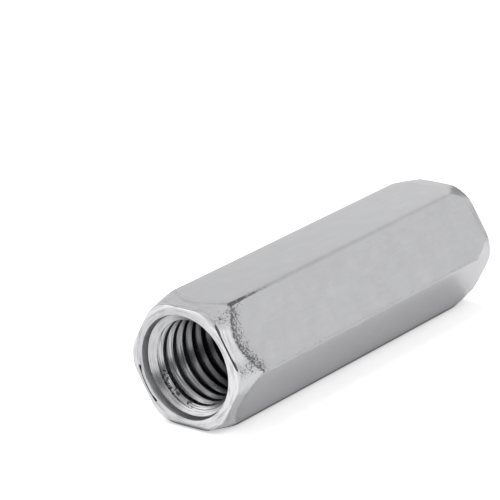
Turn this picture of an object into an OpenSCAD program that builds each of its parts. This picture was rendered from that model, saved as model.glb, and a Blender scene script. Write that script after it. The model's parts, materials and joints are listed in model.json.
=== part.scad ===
// Hex coupling nut: a long hexagonal sleeve, cold formed in one piece and tapped
// right through, so that the ends of two threaded rods meet inside it.
// It lies on one flat with its bore along X. The origin is on the ground, under its middle.

/* [Hexagon] */
// Width across the flats, the spanner size
across_flats = 15; // [13.5:0.5:21]
// Overall length along the bore
body_length = 50; // [20:1:90]
// Radius on the six long edges
edge_radius = 0.45; // [0.1:0.05:0.8]

/* [Formed ends] */
// Length along the bore of the bevel on each flat
bevel_length = 1.8; // [0.8:0.1:3]
// Distance that a bevel has come in from its flat where it meets the end face
bevel_drop = 0.15; // [0.05:0.05:0.4]
// Length along the bore over which a corner tapers
taper_length = 3.8; // [1.5:0.1:6]
// Distance that a corner has come in where it meets the end face
taper_drop = 0.85; // [0.3:0.05:1]

/* [Tapped bore] */
// Diameter of the bore over the crests of its thread
bore_diameter = 10.6; // [9.8:0.1:11]
// Diameter of the countersink at the end face
countersink_diameter = 12.7; // [11.4:0.1:13]
// Depth of the steep outer part of the countersink
lead_depth = 0.9; // [0.3:0.1:1]
// Included angle of that steep part
lead_angle = 25; // [10:5:60]
// Included angle of the countersink from there down to the bore
countersink_angle = 110; // [60:10:140]

/* [Hidden] */
$fn = 64;

half_length = body_length / 2;
flat_distance = across_flats / 2;
// Centre of the arc that rounds a long edge, and half the width of the flat left beside it
edge_centre = (flat_distance - edge_radius) / cos(30);
flat_half_width = edge_centre * sin(30);
corner_distance = edge_centre + edge_radius;
bevel_angle = atan(bevel_drop / bevel_length);
taper_end_radius = corner_distance - taper_drop;
bore_radius = bore_diameter / 2;
countersink_radius = countersink_diameter / 2;
// Radius where the countersink's steep part ends, which is always a little more than the bore's
lead_radius = max(countersink_radius - lead_depth * tan(lead_angle / 2), bore_radius + 0.05);
countersink_depth = lead_depth + (lead_radius - bore_radius) / tan(countersink_angle / 2);
// Distance by which cutting shapes run past what they cut
overlap = 1;

// Cross section with a flat on each side of X and round corners
module rounded_hexagon() {
    for (turn = [0:60:120])
        rotate(turn) square([across_flats, 2 * flat_half_width], center = true);
    for (turn = [30:60:330])
        rotate(turn) translate([edge_centre, 0]) circle(edge_radius);
}

// Cone that tapers all six corners towards the upper end
module corner_taper() {
    widening = body_length * taper_drop / taper_length;
    cylinder(h = body_length, r1 = taper_end_radius + widening, r2 = taper_end_radius, center = true);
}

// Blocks that cut the bevels of the six flats at the upper end
module end_bevels() {
    block = across_flats + 2 * overlap;
    for (turn = [0:60:300])
        rotate(turn)
            translate([flat_distance, 0, half_length - bevel_length])
                rotate([0, -bevel_angle, 0])
                    translate([0, -block / 2, -overlap])
                        cube([block, block, bevel_length + 3 * overlap]);
}

// Through bore with a countersink at each end, which is steep at the end face and then flatter
module tapped_bore() {
    outer_radius = countersink_radius + overlap * (countersink_radius - lead_radius) / lead_depth;
    rotate_extrude()
        polygon([
            [0, -half_length - overlap],
            [outer_radius, -half_length - overlap],
            [lead_radius, -half_length + lead_depth],
            [bore_radius, -half_length + countersink_depth],
            [bore_radius, half_length - countersink_depth],
            [lead_radius, half_length - lead_depth],
            [outer_radius, half_length + overlap],
            [0, half_length + overlap],
        ]);
}

module coupling_nut() {
    color([0.76, 0.76, 0.77])
        translate([0, 0, flat_distance])
            rotate([0, 90, 0])
                difference() {
                    intersection() {
                        linear_extrude(body_length, center = true) rounded_hexagon();
                        corner_taper();
                        mirror([0, 0, 1]) corner_taper();
                    }
                    end_bevels();
                    mirror([0, 0, 1]) end_bevels();
                    tapped_bore();
                }
}

coupling_nut();
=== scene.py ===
"""Hex coupling nut in zinc-plated steel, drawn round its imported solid.

The script is laid out as an add-on: property groups hold the nut's sizes and finish and the
studio, one operator draws the nut, one sets the stage, and a panel lists them.
Lengths are in metres, and MM turns a size in millimetres into metres.
The bore runs along X, and the left end is the one at -X.
"""
import json
import math
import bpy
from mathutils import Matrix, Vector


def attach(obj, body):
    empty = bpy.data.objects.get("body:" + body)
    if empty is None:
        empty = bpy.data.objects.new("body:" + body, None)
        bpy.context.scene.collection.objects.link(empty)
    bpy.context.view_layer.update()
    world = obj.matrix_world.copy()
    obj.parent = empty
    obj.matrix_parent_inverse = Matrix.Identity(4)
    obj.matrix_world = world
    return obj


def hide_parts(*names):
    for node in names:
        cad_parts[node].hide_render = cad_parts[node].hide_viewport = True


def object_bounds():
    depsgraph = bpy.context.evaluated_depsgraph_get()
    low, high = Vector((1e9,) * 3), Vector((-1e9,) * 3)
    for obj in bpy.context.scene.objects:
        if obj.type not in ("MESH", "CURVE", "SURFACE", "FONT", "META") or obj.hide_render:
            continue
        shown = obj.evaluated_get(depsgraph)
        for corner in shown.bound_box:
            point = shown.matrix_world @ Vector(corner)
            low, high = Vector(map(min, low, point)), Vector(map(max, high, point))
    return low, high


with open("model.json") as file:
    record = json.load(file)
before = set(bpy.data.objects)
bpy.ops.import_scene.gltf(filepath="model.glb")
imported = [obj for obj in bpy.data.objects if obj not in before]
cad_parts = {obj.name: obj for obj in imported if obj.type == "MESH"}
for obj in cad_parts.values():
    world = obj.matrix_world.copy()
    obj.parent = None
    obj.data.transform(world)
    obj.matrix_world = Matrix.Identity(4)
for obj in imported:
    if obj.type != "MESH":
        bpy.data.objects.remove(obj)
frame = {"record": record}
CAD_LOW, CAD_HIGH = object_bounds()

from types import SimpleNamespace

import bmesh
import bpy
from bpy.props import FloatProperty, FloatVectorProperty, PointerProperty, StringProperty
from mathutils import Matrix, Vector

bl_info = {
    "name": "Coupling Nut",
    "version": (1, 0, 0),
    "blender": (4, 5, 0),
    "location": "View3D > Sidebar > Coupling Nut",
    "description": "Draws a zinc-plated hex coupling nut with its thread, and a plain studio round it",
    "category": "Add Mesh",
}

MM = 0.001
NODE = "coupling_nut"
BODY = "root"
BORE = next(m for m in frame["record"]["mounts"] if m["name"] == "thread_right")

# Angles of the hexagon
SECTOR = math.radians(60)
HALF_SECTOR = math.radians(30)
COS30 = math.cos(HALF_SECTOR)

# Steps of the mesh: round each corner, along each flat, round the rim and round a turn of thread
CORNER_STEPS = 20
FLAT_STEPS = 12
RIM_STEPS = 6
THREAD_STEPS = 128
# Degrees to each side of a corner where the points lie close together
CORNER_ZONE = 12
# Rings along the nut: close together down to a depth below the end face, then further apart
FINE_RINGS = 0.15 * MM
COARSE_RINGS = 1.0 * MM
FINE_DEPTH = 5 * MM

# The taper's circle leaves a long edge softly, and clears it in the middle of the nut
TAPER_SOFTNESS = 0.2 * MM
TAPER_CLEARANCE = 0.1 * MM
# Softened edge of the countersink: distance out from its mouth, and depth
LIP = ((0.06 * MM, 0.0), (0.01 * MM, 0.02 * MM), (-0.03 * MM, 0.09 * MM))
# The blank is plugged at this share of the bore's radius, and the tap cuts the plug away
PLUG = 0.7

# Thread: lean of its flanks, half the arc of a root and a step of it in degrees, room beyond the
# nominal size, soft crests, and turns of the tap beyond each end of the nut
FLANK = math.radians(30)
ROOT_ARC = 60
ROOT_STEP = 20
ROOT_CLEARANCE = 0.04 * MM
CREST_SOFTNESS = 0.05 * MM
SPARE_TURNS = 2
# Edges of the mesh sharper than this stay crisp
CRISP = math.radians(32)

# Widths of the patterns in the plate. Specks and tap marks are finer on a real nut, and are
# drawn this coarse so that they show.
CLOUD = 3 * MM
BAR_MARK = 0.4 * MM
SMEAR = 0.25 * MM
SPECK = 0.22 * MM
TEAR = 0.4 * MM
TAP_MARK = 0.16 * MM
# Radius of the circle that smears are laid round, which is small so that they come out long
SMEAR_CIRCLE = 0.8 * MM
# How much further in the formed end's border lies for each unit further out at a corner
CORNER_REACH = 1.8
# Nick in the end face, a black line of painted shade, in degrees from its middle: where it ends, and
# where it is wide and narrow
NICK_END = 20
NICK_WIDE = 17
NICK_NARROW = 12

# Settings of nodes that are used again and again
PLUS = {"operation": "ADD"}
MINUS = {"operation": "SUBTRACT"}
TIMES = {"operation": "MULTIPLY"}
TIMES_PLUS = {"operation": "MULTIPLY_ADD"}
LARGER = {"operation": "MAXIMUM"}
BEYOND = {"operation": "GREATER_THAN"}
NEAR = {"operation": "COMPARE"}
DOT = {"operation": "DOT_PRODUCT"}
SOFT = {"interpolation_type": "SMOOTHSTEP"}
COLOURS = {"data_type": "RGBA"}
NUMBERS = {"data_type": "FLOAT"}

# Stage: half the floor's side, its gap below the nut, the lamp's softness and lean, and the
# camera's sensor in millimetres and nearest distance
WHITE = (1, 1, 1, 1)
FLOOR_HALF = 3.0
FLOOR_GAP = 0.02 * MM
LAMP_ANGLE = math.radians(25)
LAMP_LEAN = math.radians(-6)
SENSOR = 36
NEAREST = 10 * MM
# Directions in the studio: beyond the right end, behind the camera, and towards the key
BEYOND_RIGHT = (1, 0.2, 0)
BEHIND_CAMERA = (-0.77, -0.64, 0)
TOWARDS_KEY = (-0.62, 0.7, 0.36)


class NutSizes(bpy.types.PropertyGroup):
    """Sizes of the nut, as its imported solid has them, of its softened lines and of its thread."""

    across_flats: FloatProperty(
        name="Across flats", description="Spanner size",
        default=CAD_HIGH.z - CAD_LOW.z, unit="LENGTH")
    length: FloatProperty(
        name="Length", description="Overall length along the bore",
        default=CAD_HIGH.x - CAD_LOW.x, unit="LENGTH")
    edge_radius: FloatProperty(
        name="Edge radius", description="Radius on the six long edges",
        default=0.45 * MM, unit="LENGTH")
    bevel_length: FloatProperty(
        name="Bevel length", description="Length along the bore of the bevel on each flat",
        default=1.8 * MM, unit="LENGTH")
    bevel_drop: FloatProperty(
        name="Bevel drop", description="How far a bevel has come in at the end face",
        default=0.15 * MM, unit="LENGTH")
    taper_length: FloatProperty(
        name="Taper length", description="Length along the bore over which a corner tapers",
        default=3.8 * MM, unit="LENGTH")
    taper_drop: FloatProperty(
        name="Taper drop", description="How far a corner has come in at the end face",
        default=0.85 * MM, unit="LENGTH")
    rim_radius: FloatProperty(
        name="Rim radius", description="Radius where the bevels meet the end face",
        default=0.22 * MM, unit="LENGTH")
    blend: FloatProperty(
        name="Blend", description="Softness of the line where a bevel leaves its flat",
        default=0.12 * MM, unit="LENGTH")
    countersink_diameter: FloatProperty(
        name="Countersink", description="Diameter of the countersink at the end face",
        default=12.7 * MM, unit="LENGTH")
    lead_depth: FloatProperty(
        name="Lead depth", description="Depth of the steep outer part of the countersink",
        default=0.9 * MM, unit="LENGTH")
    lead_angle: FloatProperty(
        name="Lead angle", description="Included angle of that steep part",
        default=math.radians(25), subtype="ANGLE")
    countersink_angle: FloatProperty(
        name="Countersink angle", description="Included angle from there down to the bore",
        default=math.radians(110), subtype="ANGLE")
    bore_diameter: FloatProperty(
        name="Bore", description="Diameter over the crests of the thread",
        default=2 * BORE["dims"]["r_mm"] * MM, unit="LENGTH")
    thread_diameter: FloatProperty(
        name="Thread diameter", description="Nominal size of the thread, M12",
        default=12 * MM, unit="LENGTH")
    thread_pitch: FloatProperty(
        name="Thread pitch", description="Distance between neighbouring crests",
        default=1.75 * MM, unit="LENGTH")
    root_radius: FloatProperty(
        name="Root radius", description="Radius at the bottom of the thread's grooves",
        default=0.16 * MM, unit="LENGTH")
    thread_start: FloatProperty(
        name="Thread start", description="Distance from the left end to a crest on the +Y side",
        default=1.14 * MM, unit="LENGTH")

    @property
    def half_length(self):
        """From the middle of the nut to an end face."""
        return self.length / 2

    @property
    def flat_distance(self):
        """From the axis to a flat, and from the floor to the axis."""
        return self.across_flats / 2

    @property
    def corner_distance(self):
        """From the axis to the top of a long edge's round."""
        return (self.flat_distance - self.edge_radius) / COS30 + self.edge_radius

    @property
    def mouth_radius(self):
        """Radius of the countersink at the end face."""
        return self.countersink_diameter / 2

    @property
    def bore_radius(self):
        """Radius over the crests of the thread."""
        return self.bore_diameter / 2


class NutFinish(bpy.types.PropertyGroup):
    """Colours of the plated steel, and of its painted shade and highlight, as sRGB hex values."""

    zinc: StringProperty(
        name="Zinc", description="Bright zinc plate", default="#D5D5D7")
    zinc_dull: StringProperty(
        name="Dull zinc", description="Cloudier patches of the plate", default="#CDCDCF")
    # Scuff: dark specks and smears, and painted shade along the bottom edges, the lower long edges,
    # the bevel crease and the start of the upper long edges
    scuff_and_shade: StringProperty(
        name="Scuff", description="Dark specks, smears and grime", default="#66666A")
    # Nick: painted shade in the nick at the left end face, and the black of the tears in the thread
    nick: StringProperty(
        name="Nick", description="Black bottom of a nick or a tear", default="#242426")
    formed: StringProperty(
        name="Formed end", description="Plate on the pressed end, smoother and brighter",
        default="#E4E4E6")
    # Worn: plate rubbed bright on the long edges, and a painted highlight on the left end face
    worn_and_highlight: StringProperty(
        name="Worn", description="Plate rubbed bright on the edges and on the end face",
        default="#F0F0F1")
    thread: StringProperty(
        name="Thread", description="Zinc plate on the thread near the ends", default="#D5D5D7")
    # Deep thread: painted shade deep in the bore, and the colour of the tap's marks
    deep_shade_and_marks: StringProperty(
        name="Deep thread", description="Thin plate further in, over dark steel", default="#666669")


class StudioSettings(bpy.types.PropertyGroup):
    """Floor, lamps and camera."""

    floor: StringProperty(
        name="Floor", description="Colour of the floor, as an sRGB hex value", default="#F6F6F6")
    floor_glow: FloatProperty(
        name="Floor glow", description="White added to the floor where the camera sees it",
        default=0.5)
    floor_mirrored: FloatProperty(
        name="Floor in metal", description="White added to the floor where metal mirrors it",
        default=0.08)
    surround: FloatProperty(
        name="Surround", description="Brightness of the grey wall below the soft boxes",
        default=0.79)
    wall: FloatProperty(
        name="Wall", description="Brightness of the wall beyond the right end", default=0.9)
    far_side: FloatProperty(
        name="Far side", description="Brightness of the wall straight beyond the right end",
        default=0.3)
    dark_side: FloatProperty(
        name="Dark side", description="Brightness of the wall behind the camera", default=0.2)
    panel: FloatProperty(
        name="Front box", description="Brightness of the soft box on the -Y side", default=1.3)
    back: FloatProperty(
        name="Back box", description="Brightness of the soft box on the +Y side", default=0.66)
    gap: FloatProperty(
        name="Gaps", description="Brightness between the soft boxes", default=0.55)
    upper: FloatProperty(
        name="Upper room", description="Brightness above the soft boxes", default=0.55)
    overhead: FloatProperty(
        name="Overhead", description="Brightness of the soft box overhead", default=0.85)
    key: FloatProperty(
        name="Key", description="Brightness of the soft box that shines into the bore",
        default=1.25)
    sun: FloatProperty(
        name="Top lamp", description="Strength of the lamp that lights the floor from above",
        default=0.95)
    lens: FloatProperty(
        name="Lens", description="Focal length on a 36 mm sensor", default=250.0, unit="CAMERA")
    azimuth: FloatProperty(
        name="Azimuth", description="Turn of the camera round the nut from the -Y side",
        default=math.radians(-50.55), subtype="ANGLE")
    elevation: FloatProperty(
        name="Elevation", description="Height of the camera above the horizon",
        default=math.radians(19.93), subtype="ANGLE")
    roll: FloatProperty(
        name="Roll", description="Turn of the camera about its own axis",
        default=math.radians(-3.41), subtype="ANGLE")
    distance: FloatProperty(
        name="Distance", description="From the camera to its aim", default=413.1 * MM, unit="LENGTH")
    aim: FloatVectorProperty(
        name="Aim", description="Point at the middle of the picture",
        default=(-3.18 * MM, 7.29 * MM, 13.5 * MM), subtype="TRANSLATION", unit="LENGTH")


def linear(hex_colour):
    """Linear colour with full alpha from an sRGB hex value."""
    parts = [int(hex_colour[i:i + 2], 16) / 255 for i in (1, 3, 5)]
    return [p / 12.92 if p <= 0.04045 else ((p + 0.055) / 1.055) ** 2.4 for p in parts] + [1.0]


def feed(node, *values, **inputs):
    """Fill a node's inputs, in order or by name, with values, sockets or other nodes."""
    live = [socket for socket in node.inputs if socket.enabled]
    named = {socket.name: socket for socket in live}
    pairs = list(zip(live, values))
    pairs += [(named[name.replace("_", " ")], value) for name, value in inputs.items()]
    for socket, value in pairs:
        if isinstance(value, bpy.types.Node):
            value = next(output for output in value.outputs if output.enabled)
        if isinstance(value, bpy.types.NodeSocket):
            node.id_data.links.new(value, socket)
        else:
            socket.default_value = value


def add_node(tree, kind, settings=None, *values, **inputs):
    """A new node of a tree, with its settings and inputs."""
    node = tree.nodes.new(kind)
    for name, value in (settings or {}).items():
        setattr(node, name, value)
    feed(node, *values, **inputs)
    return node


def round_axis(degrees):
    """Direction out from the bore's axis, turned from +Y towards +Z."""
    turn = math.radians(degrees)
    return (0, math.cos(turn), math.sin(turn))


# Directions of the two flats on the -Y side, and of the nick and the tears at the left end
UPPER_FLAT = round_axis(150)
LOWER_FLAT = round_axis(210)
NICK_PLACE = round_axis(-28)
TEAR_PLACE = round_axis(-50)


def soft_min(a, b, blend):
    """The smaller of two values, with a smooth change from one to the other."""
    return (a + b - math.hypot(a - b, blend)) / 2


def soft_ramp(value, blend):
    """A value where it is above zero, and zero below, with a smooth change between."""
    return (value + math.hypot(value, blend)) / 2


def outline_angles():
    """Angles round a ring of the blank, close together near the six corners."""
    span = 30 - CORNER_ZONE
    near = [30 - CORNER_ZONE * (i / CORNER_STEPS) for i in range(CORNER_STEPS)]
    far = [span - 2 * span * (i / FLAT_STEPS) for i in range(FLAT_STEPS + 1)]
    sector = near + far + [-a for a in reversed(near)][:-1]
    return [math.radians(60 * corner + 30 - a) for corner in range(6) for a in sector]


def outline(sizes, flat, corner):
    """Points (y, z) round a hexagon with a flat side down, cut at its corners by a circle."""
    centre = (flat - sizes.edge_radius) / COS30
    touch = math.atan((flat - sizes.edge_radius) * math.tan(HALF_SECTOR) / flat)
    points = []
    for angle in outline_angles():
        lean = HALF_SECTOR - abs((angle + HALF_SECTOR) % SECTOR - HALF_SECTOR)
        if lean < touch:
            radius = flat / math.cos(lean)
        else:
            off = HALF_SECTOR - lean
            radius = centre * math.cos(off)
            radius += math.sqrt(sizes.edge_radius ** 2 - (centre * math.sin(off)) ** 2)
        radius = soft_min(radius, corner, TAPER_SOFTNESS)
        points.append(Vector((radius * math.cos(angle), radius * math.sin(angle))))
    return points


def section(sizes, depth):
    """Distance out to the flats and to the corners at a depth below the end face."""
    bevel = soft_ramp(sizes.bevel_length - depth, sizes.blend)
    taper = soft_ramp(sizes.taper_length - depth, sizes.blend)
    flat = sizes.flat_distance - sizes.bevel_drop / sizes.bevel_length * bevel
    corner = sizes.corner_distance + TAPER_CLEARANCE
    corner -= (sizes.taper_drop + TAPER_CLEARANCE) / sizes.taper_length * taper
    return flat, corner


def rim_rings(sizes):
    """Rings round the rim as (depth, points), from the side of the nut to its end face."""
    flat, corner = section(sizes, sizes.rim_radius)
    rings = []
    for step in range(RIM_STEPS + 1):
        turn = math.radians(90 * step / RIM_STEPS)
        inset = sizes.rim_radius * (1 - math.cos(turn))
        depth = sizes.rim_radius * (1 - math.sin(turn))
        rings.append((depth, outline(sizes, flat - inset, corner - inset)))
    return rings


def mouth_circles(sizes):
    """Circles of the countersink as (radius, depth), from the end face to inside the bore."""
    lead = sizes.mouth_radius - sizes.lead_depth * math.tan(sizes.lead_angle / 2)
    inside = PLUG * sizes.bore_radius
    bottom = sizes.lead_depth + (lead - inside) / math.tan(sizes.countersink_angle / 2)
    lip = [(sizes.mouth_radius + out, depth) for out, depth in LIP]
    return lip + [(lead, sizes.lead_depth), (inside, bottom)]


def end_rings(sizes):
    """Rings of one end as (depth, points), from inside the countersink out to the middle."""
    rim = rim_rings(sizes)
    spokes = [point.normalized() for point in rim[-1][1]]
    mouth = reversed(mouth_circles(sizes))
    rings = [(depth, [radius * spoke for spoke in spokes]) for radius, depth in mouth]
    rings += reversed(rim)
    depth = sizes.rim_radius
    while depth < sizes.half_length:
        depth += FINE_RINGS if depth < FINE_DEPTH else COARSE_RINGS
        depth = min(depth, sizes.half_length)
        rings.append((depth, outline(sizes, *section(sizes, depth))))
    return rings


def closed_mesh(name, shape):
    """Mesh of a closed shape with its faces turned outwards, which uses the shape up."""
    bmesh.ops.recalc_face_normals(shape, faces=shape.faces)
    mesh = bpy.data.meshes.new(name)
    shape.to_mesh(mesh)
    shape.free()
    return mesh


def blank_mesh(sizes):
    """Closed mesh of the hexagon with its formed ends and countersinks, not yet tapped."""
    axis = sizes.flat_distance
    left = [(depth - sizes.half_length, points) for depth, points in end_rings(sizes)]
    right = [(-x, points) for x, points in reversed(left[:-1])]
    shape = bmesh.new()
    rings = [
        [shape.verts.new((x, p.x, axis + p.y)) for p in points] for x, points in left + right]
    for ring, following in zip(rings, rings[1:]):
        count = len(ring)
        for i in range(count):
            k = (i + 1) % count
            shape.faces.new((ring[i], ring[k], following[k], following[i]))
    for ring in (rings[0], rings[-1]):
        shape.faces.new(ring)
    return closed_mesh("blank", shape)


def thread_profile(sizes):
    """Points (along the axis, radius) of one pitch of the tap, from one of the nut's crests."""
    middle = sizes.thread_pitch / 2
    crest = sizes.bore_radius
    seat = sizes.thread_diameter / 2 + ROOT_CLEARANCE - sizes.root_radius
    lean = math.tan(FLANK)
    touch = sizes.root_radius * math.sin(math.radians(ROOT_ARC))
    height = seat + sizes.root_radius * math.cos(math.radians(ROOT_ARC)) - crest
    edge = middle - touch - height * lean
    rise = [
        (edge - CREST_SOFTNESS, crest), (edge + CREST_SOFTNESS * lean, crest + CREST_SOFTNESS)]
    for degrees in range(-ROOT_ARC, 1, ROOT_STEP):
        turn = math.radians(degrees)
        rise.append((
            middle + sizes.root_radius * math.sin(turn), seat + sizes.root_radius * math.cos(turn)))
    fall = [(2 * middle - along, radius) for along, radius in reversed(rise[:-1])]
    return rise + fall


def tap_mesh(sizes):
    """Closed mesh of a threaded rod, longer than the nut, that cuts its thread."""
    pitch = sizes.thread_pitch
    profile = thread_profile(sizes)
    turns = math.ceil(sizes.length / pitch) + 2 * SPARE_TURNS
    first = -sizes.half_length + sizes.thread_start - SPARE_TURNS * pitch
    axis = sizes.flat_distance
    shape = bmesh.new()
    columns = []
    for step in range(turns * THREAD_STEPS + 1):
        turn = 2 * math.pi * step / THREAD_STEPS
        shift = first + pitch * step / THREAD_STEPS
        columns.append([
            shape.verts.new((shift + along, r * math.cos(turn), axis + r * math.sin(turn)))
            for along, r in profile])

    # Flanks and roots, then the crests that join one turn to the next
    for here, there in zip(columns, columns[1:]):
        for i in range(len(profile) - 1):
            shape.faces.new((here[i], there[i], there[i + 1], here[i + 1]))
    for step in range((turns - 1) * THREAD_STEPS):
        here, there = columns[step], columns[step + 1]
        above, beyond = columns[step + THREAD_STEPS], columns[step + 1 + THREAD_STEPS]
        shape.faces.new((here[-1], there[-1], beyond[0], above[0]))

    # A pointed tip at each end
    bottom = [c[0] for c in columns[:THREAD_STEPS + 1]] + columns[0][:0:-1]
    top = [c[-1] for c in columns[-THREAD_STEPS - 1:]] + columns[-1][-2::-1]
    reach = sizes.half_length + 2 * SPARE_TURNS * pitch
    for loop, x in ((bottom, -reach), (top, reach)):
        tip = shape.verts.new((x, 0, axis))
        for i, vertex in enumerate(loop):
            shape.faces.new((vertex, loop[(i + 1) % len(loop)], tip))
    return closed_mesh("tap", shape)


def new_object(name, data):
    """Object of a mesh, a lamp or a camera, linked to the scene."""
    made = bpy.data.objects.new(name, data)
    bpy.context.scene.collection.objects.link(made)
    return made


def new_metal(name):
    """A metal with its node tree and shader."""
    material = bpy.data.materials.new(name)
    material.use_nodes = True
    tree = material.node_tree
    shader = tree.nodes["Principled BSDF"]
    feed(shader, Metallic=1.0)
    return material, tree, shader


def nut_places(tree, sizes):
    """Where a point of the nut lies along its bore, round it and out from its axis."""
    place = add_node(tree, "ShaderNodeTexCoord").outputs["Object"]
    parts = add_node(tree, "ShaderNodeSeparateXYZ", Vector=place).outputs
    across = add_node(
        tree, "ShaderNodeMapping", Vector=place,
        Location=(0, 0, -sizes.flat_distance), Scale=(0, 1, 1))
    return SimpleNamespace(
        place=place, x=parts["X"], z=parts["Z"], across=across,
        left=add_node(tree, "ShaderNodeMath", TIMES, parts["X"], -1.0),
        end=add_node(tree, "ShaderNodeMath", {"operation": "ABSOLUTE"}, parts["X"]),
        radius=add_node(tree, "ShaderNodeVectorMath", {"operation": "LENGTH"}, across),
        turned=add_node(tree, "ShaderNodeVectorMath", {"operation": "NORMALIZE"}, across))


def plated_bar(tree, at, finish):
    """Colour of the plate: clouds from the bath, over faint marks along the drawn bar."""
    cloud = add_node(
        tree, "ShaderNodeTexNoise", Vector=at.place, Scale=1 / CLOUD, Detail=4.0, Roughness=0.6)
    bar = add_node(tree, "ShaderNodeMapping", Vector=at.place, Scale=(0.15, 1, 1))
    drawn = add_node(tree, "ShaderNodeTexNoise", Vector=bar, Scale=1 / BAR_MARK, Detail=2.0)
    tone = add_node(tree, "ShaderNodeMath", TIMES_PLUS, drawn, 0.4, cloud)
    tone = add_node(tree, "ShaderNodeMapRange", Value=tone, From_Min=0.45, From_Max=0.95)
    colour = add_node(
        tree, "ShaderNodeMix", COLOURS, tone, linear(finish.zinc_dull), linear(finish.zinc))
    return colour, cloud


def past_border(tree, at, sizes):
    """Distance past the border of the formed left end, which lies further in at the corners."""
    border = sizes.half_length - sizes.bevel_length + CORNER_REACH * sizes.flat_distance
    outer = add_node(tree, "ShaderNodeMath", LARGER, at.radius, sizes.flat_distance)
    reach = add_node(tree, "ShaderNodeMath", TIMES_PLUS, outer, CORNER_REACH, at.left)
    return add_node(tree, "ShaderNodeMath", MINUS, reach, border)


def pressed_sides(tree, at, sizes, past):
    """Bevels and corners that the die pressed at the left end, without its end face."""
    pressed = add_node(
        tree, "ShaderNodeMapRange", Value=past, From_Min=0.1 * MM, From_Max=0.5 * MM)
    beside = add_node(
        tree, "ShaderNodeMapRange", Value=at.radius,
        From_Min=sizes.flat_distance - 0.45 * MM, From_Max=sizes.flat_distance - 0.25 * MM)
    return add_node(tree, "ShaderNodeMath", TIMES, pressed, beside)


def painted_face_highlight(tree, at, face):
    """Painted highlight on the left end face, brighter towards the lower flat on the -Y side."""
    towards = add_node(tree, "ShaderNodeVectorMath", DOT, at.turned, LOWER_FLAT)
    rubbed = add_node(
        tree, "ShaderNodeMapRange", Value=towards, From_Min=-0.3, From_Max=0.7, To_Max=0.8)
    return add_node(tree, "ShaderNodeMath", TIMES, rubbed, face)


def end_smears(tree, at, sizes):
    """Smears that run round the end faces and the countersinks, where tools pressed them."""
    level = add_node(tree, "ShaderNodeMath", PLUS, at.radius, at.end)
    level = add_node(tree, "ShaderNodeCombineXYZ", X=level)
    around = add_node(
        tree, "ShaderNodeVectorMath", TIMES_PLUS, at.turned, [SMEAR_CIRCLE] * 3, level)
    smear = add_node(tree, "ShaderNodeTexNoise", Vector=around, Scale=1 / SMEAR, Detail=3.0)
    smear = add_node(tree, "ShaderNodeMapRange", Value=smear, From_Min=0.47, From_Max=0.72)
    strength = add_node(
        tree, "ShaderNodeMapRange", Value=at.radius, From_Min=sizes.mouth_radius - 0.3 * MM,
        From_Max=sizes.mouth_radius, To_Min=0.9, To_Max=0.45)
    close = add_node(
        tree, "ShaderNodeMapRange", Value=at.end,
        From_Min=sizes.half_length - 2 * MM, From_Max=sizes.half_length - 0.1 * MM)
    strength = add_node(tree, "ShaderNodeMath", TIMES, strength, close)
    return add_node(tree, "ShaderNodeMath", TIMES, strength, smear)


def specks_and_edge_shade(tree, at, sizes, past, upset, edge, speck):
    """Dark specks where the left end was knocked, with painted shade in specks along the start of the
    upper long edges, which show where the noise passes a limit.
    """
    # The limit is lowest at the border of the formed end and on the upper flat of the -Y side
    rise = add_node(
        tree, "ShaderNodeMapRange", Value=past,
        From_Min=-3.2 * MM, From_Max=0.0, To_Min=0.7, To_Max=0.36)
    fall = add_node(tree, "ShaderNodeMapRange", Value=past, From_Max=0.4 * MM, To_Max=0.35)
    towards = add_node(tree, "ShaderNodeVectorMath", DOT, at.turned, UPPER_FLAT)
    aside = add_node(
        tree, "ShaderNodeMapRange", Value=towards,
        From_Min=0.84, From_Max=0.9, To_Min=0.16, To_Max=0.0)
    limit = add_node(tree, "ShaderNodeMath", PLUS, rise, fall)
    limit = add_node(tree, "ShaderNodeMath", PLUS, limit, aside)

    # It is lower too on the upset corners, and where the upper long edges start, whose dark specks are
    # painted shade
    start = add_node(
        tree, "ShaderNodeMapRange", Value=at.left, From_Min=sizes.half_length - 16 * MM,
        From_Max=sizes.half_length - 7 * MM, To_Max=-0.42)
    upward = add_node(
        tree, "ShaderNodeMapRange", Value=at.z,
        From_Min=sizes.flat_distance, From_Max=sizes.across_flats)
    start = add_node(tree, "ShaderNodeMath", TIMES, start, upward)
    for where, change in ((upset, -0.2), (edge, start)):
        limit = add_node(tree, "ShaderNodeMath", TIMES_PLUS, where, change, limit)
    above = add_node(tree, "ShaderNodeMath", MINUS, speck, limit)
    return add_node(tree, "ShaderNodeMapRange", Value=above, From_Max=0.12, To_Max=0.9)


def nick_shade(tree, at, sizes, face):
    """Painted shade of a nick: a black line round the lower left of the left end face, wider at both
    of its ends.
    """
    sweep = add_node(tree, "ShaderNodeVectorMath", DOT, at.turned, NICK_PLACE)
    width = add_node(
        tree, "ShaderNodeMapRange", Value=sweep, From_Min=math.cos(math.radians(NICK_WIDE)),
        From_Max=math.cos(math.radians(NICK_NARROW)), To_Min=0.16 * MM, To_Max=0.07 * MM)
    ring = add_node(
        tree, "ShaderNodeMath", NEAR, at.radius, sizes.mouth_radius + 0.45 * MM, width)
    within = add_node(tree, "ShaderNodeMath", BEYOND, sweep, math.cos(math.radians(NICK_END)))
    nick = add_node(tree, "ShaderNodeMath", TIMES, ring, within)
    return add_node(tree, "ShaderNodeMath", TIMES, nick, face)


def crease_shade(tree, at, sizes):
    """Painted shade: a dark line where the bevel of the upper flat on the -Y side meets the left end
    face.
    """
    out = add_node(tree, "ShaderNodeVectorMath", DOT, at.across, UPPER_FLAT)
    rim = sizes.flat_distance - sizes.bevel_drop - 0.1 * MM
    line = add_node(tree, "ShaderNodeMath", NEAR, out, rim, 0.08 * MM)
    near_face = add_node(
        tree, "ShaderNodeMath", BEYOND, at.left, sizes.half_length - 0.3 * MM)
    return add_node(tree, "ShaderNodeMath", TIMES, line, near_face)


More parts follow.
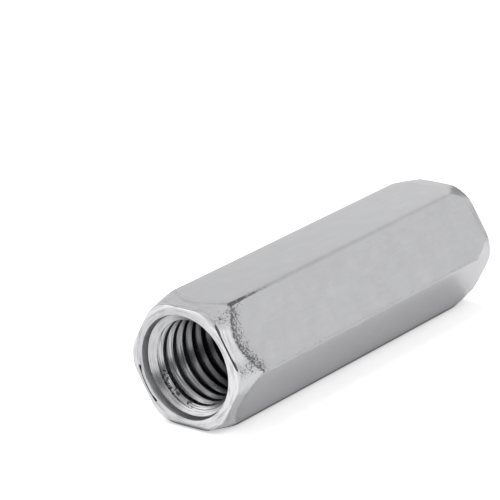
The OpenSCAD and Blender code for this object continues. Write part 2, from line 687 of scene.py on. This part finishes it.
def edge_shade_and_wear(tree, at, sizes, edge, speck):
    """Long edges with painted shade in broken patches low on the nut, and rubbed bright in broken
    patches.
    """
    patches = add_node(tree, "ShaderNodeMath", TIMES, edge, speck)
    # Painted shade that dims the long edges low on the nut
    low_edge_shade = add_node(
        tree, "ShaderNodeMapRange", Value=patches, From_Min=0.3, From_Max=0.55, To_Max=0.45)
    low = add_node(
        tree, "ShaderNodeMapRange", Value=at.z,
        From_Min=sizes.across_flats, From_Max=sizes.flat_distance)
    low_edge_shade = add_node(tree, "ShaderNodeMath", TIMES, low_edge_shade, low)
    bright = add_node(
        tree, "ShaderNodeMapRange", Value=patches, From_Min=0.58, From_Max=0.66, To_Max=0.8)
    return low_edge_shade, bright


def zinc_plate(finish, sizes):
    """Bright zinc plate on cold-formed steel: pale grey and satin, cloudy, with scuffs near the ends,
    and with painted shade and a painted highlight.
    """
    material, tree, shader = new_metal("bright zinc plate on cold-formed steel")
    at = nut_places(tree, sizes)
    colour, cloud = plated_bar(tree, at, finish)
    speck = add_node(
        tree, "ShaderNodeTexNoise", Vector=at.place, Scale=1 / SPECK, Detail=3.0, Roughness=0.75)

    # Places on the nut: pressed sides and end face of the left end, its upset corners, long edges
    past = past_border(tree, at, sizes)
    pressed = pressed_sides(tree, at, sizes, past)
    face = add_node(tree, "ShaderNodeMath", BEYOND, at.left, sizes.half_length - 0.1 * MM)
    corners = add_node(
        tree, "ShaderNodeMapRange", Value=at.radius,
        From_Min=sizes.flat_distance + 0.1 * MM, From_Max=sizes.flat_distance + 0.4 * MM)
    upset = add_node(tree, "ShaderNodeMath", TIMES, corners, pressed)
    edge = add_node(
        tree, "ShaderNodeMapRange", Value=at.radius,
        From_Min=sizes.corner_distance - 0.14 * MM, From_Max=sizes.corner_distance - 0.07 * MM)

    # Wear and painted light, laid over the plate in this order: painted highlight on the end face, and
    # painted shade in specks along the start of the upper long edges, in the nick, in the bevel
    # crease, along the edges that the nut lies on and on the lower long edges
    specks_and_shade = specks_and_edge_shade(tree, at, sizes, past, upset, edge, speck)
    # Painted shade along the edges that the nut lies on, darker towards the floor
    bottom_shade = add_node(
        tree, "ShaderNodeMapRange", Value=at.z, From_Min=0.7 * MM, From_Max=0.4 * MM, To_Max=0.9)
    low_edge_shade, bright = edge_shade_and_wear(tree, at, sizes, edge, speck)
    for layer, shade in (
            (pressed, finish.formed), (painted_face_highlight(tree, at, face), finish.worn_and_highlight),
            (end_smears(tree, at, sizes), finish.scuff_and_shade), (specks_and_shade, finish.scuff_and_shade),
            (nick_shade(tree, at, sizes, face), finish.nick),
            (crease_shade(tree, at, sizes), finish.scuff_and_shade),
            (bottom_shade, finish.scuff_and_shade), (low_edge_shade, finish.scuff_and_shade), (bright, finish.worn_and_highlight)):
        colour = add_node(tree, "ShaderNodeMix", COLOURS, layer, colour, linear(shade))

    # Specks, upset corners and the lip of the countersink are rougher
    rough = add_node(tree, "ShaderNodeMapRange", Value=cloud, To_Min=0.18, To_Max=0.28)
    lip = add_node(
        tree, "ShaderNodeMath", NEAR, at.radius, sizes.mouth_radius - 0.11 * MM, 0.1 * MM)
    for layer, added in ((specks_and_shade, 0.3), (upset, 0.4), (lip, 0.13)):
        rough = add_node(tree, "ShaderNodeMath", TIMES_PLUS, layer, added, rough)
    grain = add_node(
        tree, "ShaderNodeBump", Strength=0.15, Distance=0.01 * MM, Height=speck)
    feed(shader, Base_Color=colour, Roughness=rough, Normal=grain)
    return material


def tapped_thread(finish, sizes):
    """Zinc plate on a cut thread, with painted shade that darkens it inwards, and marks of the tap."""
    material, tree, shader = new_metal("zinc plate on a tapped thread, with painted shade deeper in")
    at = nut_places(tree, sizes)
    half = sizes.half_length
    # Painted shade: the thread darkens from near each end to deeper in the bore
    plated = add_node(
        tree, "ShaderNodeMapRange", SOFT, Value=at.end,
        From_Min=half - 11 * MM, From_Max=half - 1.5 * MM)
    colour = add_node(
        tree, "ShaderNodeMix", COLOURS, plated, linear(finish.deep_shade_and_marks), linear(finish.thread))

    # Tears in the first turns, at the lower left of the left end
    sweep = add_node(tree, "ShaderNodeVectorMath", DOT, at.turned, TEAR_PLACE)
    lower = add_node(tree, "ShaderNodeMapRange", Value=sweep, From_Min=0.5, From_Max=0.9)
    first = add_node(
        tree, "ShaderNodeMapRange", Value=at.left, From_Min=half - 5 * MM, From_Max=half - 3 * MM)
    where = add_node(tree, "ShaderNodeMath", TIMES, lower, first)
    torn = add_node(tree, "ShaderNodeTexNoise", Vector=at.place, Scale=1 / TEAR, Detail=2.0)
    torn = add_node(tree, "ShaderNodeMath", TIMES, torn, where)
    torn = add_node(
        tree, "ShaderNodeMapRange", Value=torn, From_Min=0.5, From_Max=0.56, To_Max=0.9)

    # Marks of the tap, which run round with the thread
    level = add_node(tree, "ShaderNodeCombineXYZ", X=at.x, Y=at.radius)
    cut = add_node(tree, "ShaderNodeTexNoise", Vector=level, Scale=1 / TAP_MARK, Detail=2.0)
    marked = add_node(
        tree, "ShaderNodeMapRange", Value=cut, From_Min=0.45, From_Max=0.65, To_Max=0.85)
    for layer, shade in ((torn, finish.nick), (marked, finish.deep_shade_and_marks)):
        colour = add_node(tree, "ShaderNodeMix", COLOURS, layer, colour, linear(shade))
    rough = add_node(tree, "ShaderNodeMapRange", Value=cut, To_Min=0.15, To_Max=0.35)
    feed(shader, Base_Color=colour, Roughness=rough)
    return material


def studio_paper(studio):
    """Matt white paper: even and plain, and lifted to white for the camera and a little for metal."""
    material = bpy.data.materials.new("matt white studio paper")
    material.use_nodes = True
    tree = material.node_tree
    rays = add_node(tree, "ShaderNodeLightPath").outputs
    mirrored = add_node(
        tree, "ShaderNodeMath", LARGER, rays["Is Glossy Ray"], rays["Is Transmission Ray"])
    mirrored = add_node(tree, "ShaderNodeMath", TIMES, mirrored, studio.floor_mirrored)
    glow = add_node(
        tree, "ShaderNodeMath", TIMES_PLUS, rays["Is Camera Ray"], studio.floor_glow, mirrored)
    feed(
        tree.nodes["Principled BSDF"], Base_Color=linear(studio.floor), Roughness=1.0,
        Specular_IOR_Level=0.0, Emission_Color=WHITE, Emission_Strength=glow)
    return material


def studio_sky(studio):
    """Soft boxes drawn in the world: bright panels with dim gaps between, over a grey wall."""
    world = bpy.data.worlds.new("studio")
    world.use_nodes = True
    tree = world.node_tree
    toward = add_node(tree, "ShaderNodeTexCoord").outputs["Generated"]
    parts = add_node(tree, "ShaderNodeSeparateXYZ", Vector=toward).outputs
    right = add_node(tree, "ShaderNodeVectorMath", DOT, toward, BEYOND_RIGHT)
    behind = add_node(tree, "ShaderNodeVectorMath", DOT, toward, BEHIND_CAMERA)
    key = add_node(tree, "ShaderNodeVectorMath", DOT, toward, TOWARDS_KEY)

    # Panels on all four sides, of which the one on the -Y side ends towards the right
    front = add_node(
        tree, "ShaderNodeMapRange", SOFT, Value=parts["X"],
        From_Min=0.58, From_Max=0.68, To_Min=studio.panel, To_Max=studio.surround)
    panels = studio.gap
    for axis, start, end, level in (
            ("Y", -0.16, -0.42, front), ("Y", 0.16, 0.42, studio.back),
            ("X", 0.71, 0.79, studio.surround), ("X", -0.72, -0.84, studio.surround)):
        side = add_node(
            tree, "ShaderNodeMapRange", SOFT, Value=parts[axis],
            From_Min=start, From_Max=end, To_Min=studio.gap, To_Max=level)
        panels = add_node(tree, "ShaderNodeMath", LARGER, panels, side)
    upper = add_node(
        tree, "ShaderNodeMapRange", SOFT, Value=parts["X"],
        From_Min=0.7, From_Max=0.75, To_Min=studio.upper, To_Max=studio.surround)

    # The wall, then what lies over it: its dark parts, the panels, the upper room and two boxes
    sky = add_node(
        tree, "ShaderNodeMapRange", SOFT, Value=right,
        From_Min=0.83, From_Max=0.88, To_Min=studio.surround, To_Max=studio.wall)
    for value, start, end, level in (
            (right, 0.92, 0.98, studio.far_side), (behind, 0.45, 0.8, studio.dark_side),
            (parts["Z"], 0.37, 0.43, panels), (parts["Z"], 0.48, 0.6, upper),
            (parts["Z"], 0.82, 0.92, studio.overhead), (key, 0.84, 0.93, studio.key)):
        layer = add_node(
            tree, "ShaderNodeMapRange", SOFT, Value=value, From_Min=start, From_Max=end)
        sky = add_node(tree, "ShaderNodeMix", NUMBERS, layer, sky, level)
    feed(tree.nodes["Background"], Color=WHITE, Strength=sky)
    return world


def add_floor(studio):
    """White paper under the nut, a hair below it so that their faces don't coincide."""
    mesh = bpy.data.meshes.new("floor")
    corners = ((-1, -1), (1, -1), (1, 1), (-1, 1))
    mesh.from_pydata(
        [(x * FLOOR_HALF, y * FLOOR_HALF, -FLOOR_GAP) for x, y in corners], [], [(0, 1, 2, 3)])
    mesh.materials.append(studio_paper(studio))
    floor = new_object("floor", mesh)


def add_lamp(studio):
    """Soft lamp above the nut that lights the floor, and isn't mirrored in the metal."""
    lamp = new_object("top lamp", bpy.data.lights.new("top lamp", "SUN"))
    lamp.data.energy = studio.sun
    lamp.data.angle = LAMP_ANGLE
    lamp.rotation_euler = (LAMP_LEAN, 0, 0)
    lamp.visible_glossy = False


def add_camera(studio):
    """Camera at its azimuth, elevation and distance from its aim, turned by its roll."""
    camera = new_object("camera", bpy.data.cameras.new("camera"))
    back = Vector((
        math.sin(studio.azimuth) * math.cos(studio.elevation),
        -math.cos(studio.azimuth) * math.cos(studio.elevation),
        math.sin(studio.elevation)))
    turn = (-back).to_track_quat("-Z", "Y").to_matrix().to_4x4()
    camera.matrix_world = (
        Matrix.Translation(Vector(studio.aim) + back * studio.distance)
        @ turn @ Matrix.Rotation(studio.roll, 4, "Z"))
    camera.data.sensor_width = SENSOR
    camera.data.lens = studio.lens
    camera.data.clip_start = NEAREST
    return camera


class COUPLING_OT_nut(bpy.types.Operator):
    """Draw the nut: a formed hexagon with its thread cut through it"""

    bl_idname = "coupling.nut"
    bl_label = "Draw the nut"

    def execute(self, context):
        sizes = context.scene.nut_sizes
        finish = context.scene.nut_finish
        blank = new_object("blank", blank_mesh(sizes))
        tap = new_object("tap", tap_mesh(sizes))
        blank.data.materials.append(zinc_plate(finish, sizes))
        tap.data.materials.append(tapped_thread(finish, sizes))
        cut = blank.modifiers.new("thread", "BOOLEAN")
        cut.operation = "DIFFERENCE"
        cut.solver = "EXACT"
        cut.material_mode = "TRANSFER"
        cut.object = tap
        graph = context.evaluated_depsgraph_get()
        mesh = bpy.data.meshes.new_from_object(blank.evaluated_get(graph))
        for helper in (blank, tap):
            bpy.data.objects.remove(helper)
        if {face.material_index for face in mesh.polygons} != {0, 1}:
            raise RuntimeError("The thread was not cut through the blank")
        mesh.name = "threaded_nut"
        mesh.shade_smooth()
        mesh.set_sharp_from_angle(angle=CRISP)
        nut = new_object("threaded_nut", mesh)
        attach(nut, BODY)
        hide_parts(NODE)
        return {"FINISHED"}


class COUPLING_OT_stage(bpy.types.Operator):
    """Set the stage: a pale floor, soft lamps and the camera"""

    bl_idname = "coupling.stage"
    bl_label = "Set the stage"

    def execute(self, context):
        studio = context.scene.nut_studio
        context.scene.view_settings.view_transform = "Standard"
        add_floor(studio)
        context.scene.world = studio_sky(studio)
        add_lamp(studio)
        context.scene.camera = add_camera(studio)
        return {"FINISHED"}


class COUPLING_PT_panel(bpy.types.Panel):
    """Panel in the sidebar of the 3D view"""

    bl_idname = "COUPLING_PT_panel"
    bl_label = "Coupling Nut"
    bl_space_type = "VIEW_3D"
    bl_region_type = "UI"
    bl_category = "Coupling Nut"

    def draw(self, context):
        for operator in (COUPLING_OT_nut, COUPLING_OT_stage):
            self.layout.operator(operator.bl_idname)


CLASSES = (
    NutSizes, NutFinish, StudioSettings, COUPLING_OT_nut, COUPLING_OT_stage, COUPLING_PT_panel)


def register():
    """Register the classes, and hang the settings on the scene."""
    for each in CLASSES:
        bpy.utils.register_class(each)
    bpy.types.Scene.nut_sizes = PointerProperty(type=NutSizes)
    bpy.types.Scene.nut_finish = PointerProperty(type=NutFinish)
    bpy.types.Scene.nut_studio = PointerProperty(type=StudioSettings)


def unregister():
    """Take the settings off the scene, and unregister the classes."""
    for name in ("nut_sizes", "nut_finish", "nut_studio"):
        delattr(bpy.types.Scene, name)
    for each in reversed(CLASSES):
        bpy.utils.unregister_class(each)


def main():
    """Draw the nut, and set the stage."""
    register()
    bpy.ops.coupling.nut()
    bpy.ops.coupling.stage()


if __name__ == "__main__":
    main()
